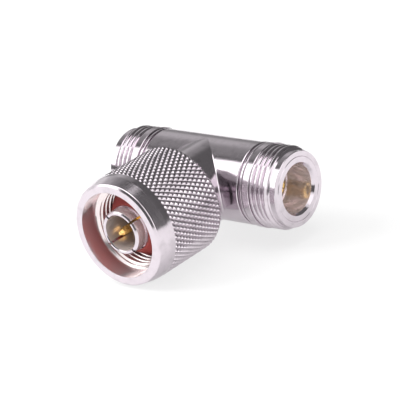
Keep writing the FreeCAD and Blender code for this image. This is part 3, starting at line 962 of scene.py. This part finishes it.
class ADAPTER_OT_stage(bpy.types.Operator):
    """Pale floor, soft studio light and the camera"""

    bl_idname = "adapter.stage"
    bl_label = "Stage"

    # Surroundings as (azimuth, half width, lowest, highest, soft edge, brightness); degrees,
    # azimuth from the male side towards the right-hand port.
    surroundings = (
        (-122.0, 34.0, 0.0, 54.0, 16.0, 0.3),
        (-128.0, 13.0, 16.0, 38.0, 14.0, 0.55),
        (-100.0, 24.0, -20.0, 20.0, 10.0, 1.2),
        (-80.0, 14.0, 8.0, 36.0, 10.0, 1.0),
        (-24.0, 17.0, 13.0, 33.0, 7.0, 1.3),
        (-52.0, 21.0, 11.0, 57.0, 6.0, 2.1),
        (80.0, 22.0, -25.0, 58.0, 10.0, 1.9),
        (65.0, 22.0, 24.0, 60.0, 8.0, 1.5),
        (0.0, 200.0, 70.0, 120.0, 8.0, 2.6),
        (0.0, 112.0, 62.0, 120.0, 12.0, 2.8),
    )
    ambient = 0.13
    least_level = 1e-4

    # Lamp: degrees, and metres from the place that it lights. Camera: lens, sensor and place in
    # millimetres, clipping in metres.
    lamp_azimuth, lamp_elevation, lamp_distance = -54.0, 42.0, 0.6
    lamp_aim = (0.0, 0.015, 0.0)
    camera_lens, camera_sensor, camera_clip = 179.84, 36.0, (0.01, 20.0)
    camera_place = (240.119, -237.281, 140.106)
    camera_right = (0.76706858, 0.62219734, -0.15644893)
    camera_up = (-0.12646917, 0.38571463, 0.91390906)

    def world(self, context):
        """Soft panels for the metal to mirror; the camera sees plain white there."""
        world = bpy.data.worlds.new("studio")
        world.use_nodes = True
        context.scene.world = world
        graph = Graph(world.node_tree)
        x, y, z = graph.parts(graph.node("ShaderNodeTexCoord", output="Generated"))
        level = (1.0 - z * z).math("MAXIMUM", self.least_level).math("SQRT")
        elevation = z.math("ARCSINE") * math.degrees(1)
        light = self.ambient
        for azimuth, half, low, high, soft, brightness in self.surroundings:
            turn = math.radians(azimuth)
            facing = (x * math.sin(turn) - y * math.cos(turn)) / level
            facing = facing.math("MINIMUM", 1.0).math("MAXIMUM", -1.0)
            away = facing.math("ARCCOSINE") * math.degrees(1)
            mask = 1 - graph.step(away, half - soft / 2, half + soft / 2)
            mask = mask * graph.step(elevation, low - soft / 4, low + soft / 4)
            mask = mask * (1 - graph.step(elevation, high - soft / 2, high + soft / 2))
            light = light + (brightness - light) * mask
        seen = graph.node("ShaderNodeLightPath", output="Is Camera Ray")
        light = light + (1 - light) * seen
        background = graph.node("ShaderNodeBackground", None, {"Color": light, "Strength": 1.0})
        graph.node("ShaderNodeOutputWorld", None, {"Surface": background})

    def floor(self, context):
        """Pale floor under the nut: near white to the camera, with the part's shadow on it."""
        stage = context.scene.adapter_stage
        half, height = stage.floor_half, -NUT_R * MM
        mesh = bpy.data.meshes.new("floor")
        corners = [(-half, -half, height), (half, -half, height), (half, half, height),
                   (-half, half, height)]
        mesh.from_pydata(corners, [], [(0, 1, 2, 3)])
        material, graph = new_material("floor")
        seen = graph.node("ShaderNodeLightPath", output="Is Camera Ray")
        glossy, through = seen.sibling("Is Glossy Ray"), seen.sibling("Is Transmission Ray")
        paper = graph.node("ShaderNodeBsdfDiffuse", None, {"Color": rgba(stage.floor_colour)})
        glow = graph.node("ShaderNodeEmission", None,
                          {"Color": rgba((1.0, 1.0, 1.0)), "Strength": 1.0})
        share = ((seen + through).math("MINIMUM", 1.0) * stage.floor_glow
                 + glossy * stage.floor_sheen)
        mixed = graph.node("ShaderNodeMixShader", None, {0: share, 1: paper, 2: glow})
        graph.node("ShaderNodeOutputMaterial", None, {"Surface": mixed})
        mesh.materials.append(material)
        made = bpy.data.objects.new("floor", mesh)
        context.scene.collection.objects.link(made)

    def lamp(self, context):
        """Square soft lamp, which metal doesn't mirror."""
        stage = context.scene.adapter_stage
        data = bpy.data.lights.new("key lamp", "AREA")
        data.shape = "SQUARE"
        data.size = stage.key_size
        data.energy = stage.key_power
        azimuth, elevation = math.radians(self.lamp_azimuth), math.radians(self.lamp_elevation)
        towards = Vector((math.sin(azimuth) * math.cos(elevation),
                          -math.cos(azimuth) * math.cos(elevation), math.sin(elevation)))
        made = bpy.data.objects.new("key lamp", data)
        made.location = towards * self.lamp_distance + Vector(self.lamp_aim)
        made.rotation_mode = "QUATERNION"
        made.rotation_quaternion = towards.to_track_quat("Z", "Y")
        made.visible_glossy = False
        context.scene.collection.objects.link(made)

    def camera(self, context):
        """Camera at the photograph's angle."""
        data = bpy.data.cameras.new("camera")
        data.sensor_width = self.camera_sensor
        data.lens = self.camera_lens
        data.clip_start, data.clip_end = self.camera_clip
        right, up = Vector(self.camera_right), Vector(self.camera_up)
        turn = Matrix((right, up, right.cross(up))).transposed().to_4x4()
        made = bpy.data.objects.new("camera", data)
        made.matrix_world = Matrix.Translation(Vector(self.camera_place) * MM) @ turn
        context.scene.collection.objects.link(made)
        context.scene.camera = made

    def execute(self, context):
        context.scene.view_settings.view_transform = "Standard"
        self.world(context)
        self.floor(context)
        self.lamp(context)
        self.camera(context)
        return {"FINISHED"}


class ADAPTER_PT_build(bpy.types.Panel):
    """Sidebar list of the pieces, their sizes and finishes"""

    bl_idname = "ADAPTER_PT_build"
    bl_label = "Tee adapter"
    bl_space_type = "VIEW_3D"
    bl_region_type = "UI"
    bl_category = "Tee adapter"

    def draw(self, context):
        for operator in OPERATORS:
            self.layout.operator(operator.bl_idname)
        for name in GROUPS:
            group = getattr(context.scene, name)
            column = self.layout.column(align=True)
            for prop_name in group.__annotations__:
                column.prop(group, prop_name)


GROUPS = {
    "adapter_sizes": AdapterSizes,
    "adapter_finish": AdapterFinish,
    "adapter_stage": AdapterStage,
}
OPERATORS = (
    ADAPTER_OT_tee_body,
    ADAPTER_OT_ports,
    ADAPTER_OT_coupling_nut,
    ADAPTER_OT_male_contacts,
    ADAPTER_OT_sockets,
    ADAPTER_OT_inner_parts,
    ADAPTER_OT_stage,
)
CLASSES = (*GROUPS.values(), *OPERATORS, ADAPTER_PT_build)


def register():
    for listed in CLASSES:
        bpy.utils.register_class(listed)
    for name, group in GROUPS.items():
        setattr(bpy.types.Scene, name, PointerProperty(type=group))


def unregister():
    for name in GROUPS:
        delattr(bpy.types.Scene, name)
    for listed in reversed(CLASSES):
        bpy.utils.unregister_class(listed)


def main():
    """Build every piece and the stage."""
    register()
    bpy.ops.adapter.tee_body()
    bpy.ops.adapter.ports()
    bpy.ops.adapter.coupling_nut()
    bpy.ops.adapter.male_contacts()
    bpy.ops.adapter.sockets()
    bpy.ops.adapter.inner_parts()
    bpy.ops.adapter.stage()


if __name__ == "__main__":
    main()
